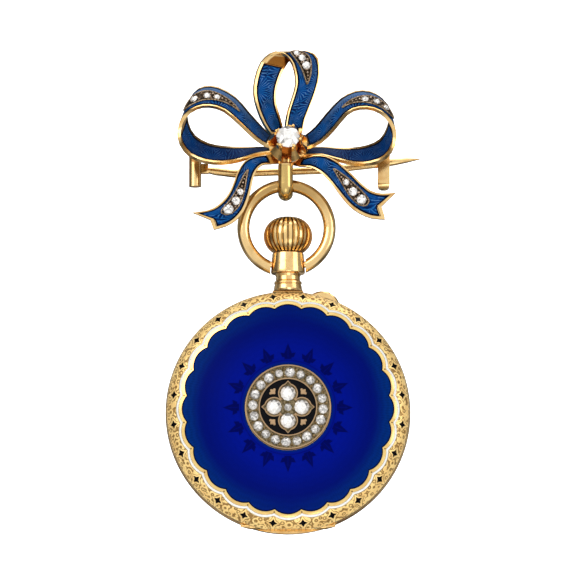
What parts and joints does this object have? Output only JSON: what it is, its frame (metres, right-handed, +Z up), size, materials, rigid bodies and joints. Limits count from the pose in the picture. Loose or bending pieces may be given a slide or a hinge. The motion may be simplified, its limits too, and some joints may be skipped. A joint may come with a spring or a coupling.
{
  "type": "chatelaine watch pin",
  "caption": "Ribbon-bow brooch of gold, blue enamel and diamonds with a hook from which a round enamelled pendant watch hangs.",
  "frame": {"origin": "on the axis of the pin stem, behind the middle of the bow, where the garment holds the brooch", "axes": "+Z up, +Y towards the wearer, +X to the right as seen from the front"},
  "size_m": [0.0322, 0.0104, 0.0614],
  "materials": {
    "gold": "satin-polished yellow gold",
    "setting_gold": "burnished darker gold",
    "antique_gold": "dulled brownish gold",
    "panel_silver": "blackened silver with gold grains",
    "bow_enamel": "translucent royal blue enamel over engine turning",
    "field_enamel": "translucent royal blue enamel, greener towards the rim",
    "white_enamel": "opaque white enamel",
    "black_enamel": "opaque black enamel",
    "dial_enamel": "white enamel dial",
    "diamond": "faceted and polished",
    "crystal": "clear polished",
    "blued_steel": "blued"
  },
  "bodies": {
    "brooch": {"bow_frame": "gold", "left_loop_enamel": "bow_enamel", "top_loop_enamel": "bow_enamel", "right_loop_enamel": "bow_enamel", "left_tail_enamel": "bow_enamel", "right_tail_enamel": "bow_enamel", "left_loop_panel": "panel_silver", "top_loop_panel": "panel_silver", "right_loop_panel": "panel_silver", "left_tail_panel": "panel_silver", "right_tail_panel": "panel_silver", "bow_diamond_1": "diamond", "bow_diamond_2": "diamond", "bow_diamond_3": "diamond", "bow_diamond_4": "diamond", "bow_diamond_5": "diamond", "bow_diamond_6": "diamond", "bow_diamond_7": "diamond", "bow_diamond_8": "diamond", "bow_diamond_9": "diamond", "bow_diamond_10": "diamond", "bow_diamond_11": "diamond", "bow_diamond_12": "diamond", "bow_diamond_13": "diamond", "bow_diamond_14": "diamond", "bow_diamond_15": "diamond", "centre_setting": "setting_gold", "centre_diamond": "diamond", "stem_rivet": "gold"},
    "stem": {"pin_stem": "gold"},
    "ring": {"watch_ring": "gold"},
    "case": {"case_band": "gold", "bezel": "gold", "crystal": "crystal", "dial": "dial_enamel", "inner_cover": "gold", "hour_hand": "blued_steel", "minute_hand": "blued_steel", "cover_hinge_pin": "gold"},
    "crown_body": {"crown": "gold"},
    "push": {"set_pin": "gold"},
    "cover": {"back_cover": "gold", "field_enamel": "field_enamel", "white_line_enamel": "white_enamel", "star_enamels": "black_enamel", "rosette_plate": "antique_gold", "rosette_enamel": "black_enamel", "border_diamonds": "diamond", "petal_diamond_1": "diamond", "petal_diamond_2": "diamond", "petal_diamond_3": "diamond", "petal_diamond_4": "diamond", "rosette_diamond": "diamond"}
  },
  "joints": [
    {"name": "stem_hinge", "type": "hinge", "parent": "brooch", "child": "stem", "pos_m": [-0.0117, 0, 0], "axis": [0, 0, 1], "range_deg": [0, 80]},
    {"name": "ring_swing", "type": "hinge", "parent": "brooch", "child": "ring", "pos_m": [-0.00019, -0.004, -0.0079], "axis": [0, 1, 0], "range_deg": [-45, 45]},
    {"name": "case_pivot", "type": "hinge", "parent": "ring", "child": "case", "pos_m": [0, -0.004, -0.01252], "axis": [-1, 0, 0], "range_deg": [-90, 90]},
    {"name": "crown_turn", "type": "hinge", "parent": "case", "child": "crown_body", "pos_m": [0, -0.004, -0.00905], "axis": [0, 0, 1], "continuous": true},
    {"name": "cover_hinge", "type": "hinge", "parent": "case", "child": "cover", "pos_m": [0, -0.0045, -0.04557], "axis": [1, 0, 0], "range_deg": [0, 80]},
    {"name": "set_push", "type": "slide", "parent": "case", "child": "push", "axis": [-0.3107, 0, -0.9505], "range_m": [0, 0.0003], "stiffness_N_per_m": 150}
  ]
}
